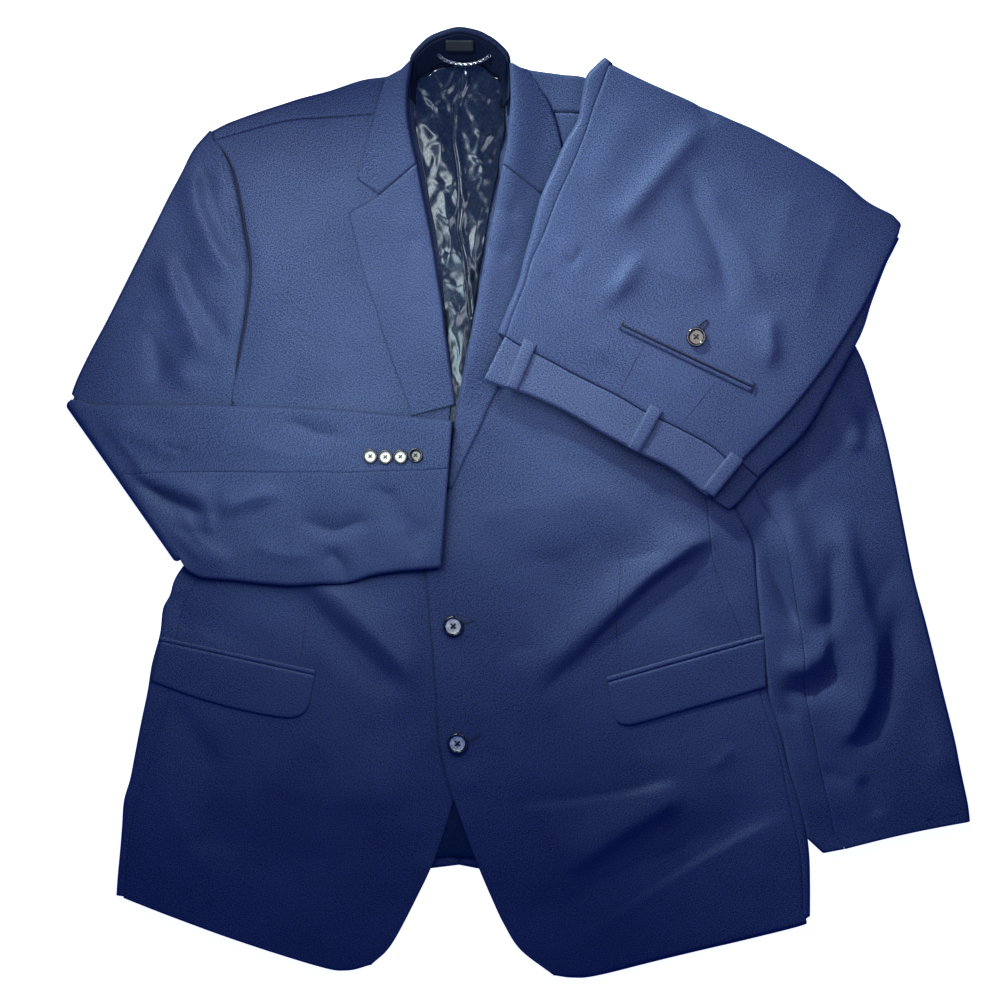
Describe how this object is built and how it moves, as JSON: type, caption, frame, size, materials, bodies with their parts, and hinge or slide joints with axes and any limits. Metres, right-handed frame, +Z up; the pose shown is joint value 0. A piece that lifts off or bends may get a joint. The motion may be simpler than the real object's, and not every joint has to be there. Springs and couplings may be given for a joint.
{
  "type": "two-piece suit",
  "caption": "Notch-lapel two-button suit jacket laid flat with its right sleeve folded over the chest and its trousers folded on the left shoulder.",
  "frame": {"origin": "centre of the laid suit's footprint, on the surface it rests on", "axes": "+Z up from the surface, +Y towards the jacket's collar, +X towards the wearer's left sleeve"},
  "size_m": [0.9042, 0.9511, 0.0351],
  "materials": {
    "suiting": "matte",
    "suiting_shade": "matte",
    "lining_satin": "satin",
    "horn_pale": "gloss",
    "horn_dark": "gloss",
    "hanger_metal": "satin"
  },
  "bodies": {
    "root": {"belt_loop_1": "suiting", "belt_loop_2": "suiting", "belt_loop_3": "suiting", "collar_leaf_left": "suiting", "collar_leaf_right": "suiting", "collar_roll_back": "suiting", "collar_stand": "suiting_shade", "front_button_1": "horn_pale", "front_button_2": "horn_pale", "hanger_chain": "hanger_metal", "jacket_back_left": "suiting_shade", "jacket_back_lining": "lining_satin", "jacket_back_right": "suiting_shade", "jacket_front_left": "suiting", "jacket_front_right": "suiting", "jacket_side_left": "suiting", "jacket_side_right": "suiting", "lapel_left": "suiting", "lapel_right": "suiting", "neck_label": "lining_satin", "pocket_flap_left": "suiting", "pocket_flap_right": "suiting", "pocket_jet_left": "suiting", "pocket_jet_right": "suiting", "sleeve_button_1": "horn_pale", "sleeve_button_2": "horn_pale", "sleeve_button_3": "horn_pale", "sleeve_button_4": "horn_dark", "sleeve_left_top": "suiting", "sleeve_left_under": "suiting", "sleeve_right_forearm_top": "suiting", "sleeve_right_forearm_under": "suiting", "sleeve_right_under_arm": "suiting", "sleeve_right_upper_arm": "suiting", "trousers_back_left": "suiting", "trousers_back_right": "suiting", "trousers_folded_legs": "suiting_shade", "trousers_front_left": "suiting", "trousers_pocket_button": "horn_dark", "trousers_pocket_jet_1": "suiting", "trousers_pocket_jet_2": "suiting", "trousers_waistband": "suiting", "trousers_waistband_right": "suiting"}
  },
  "joints": []
}
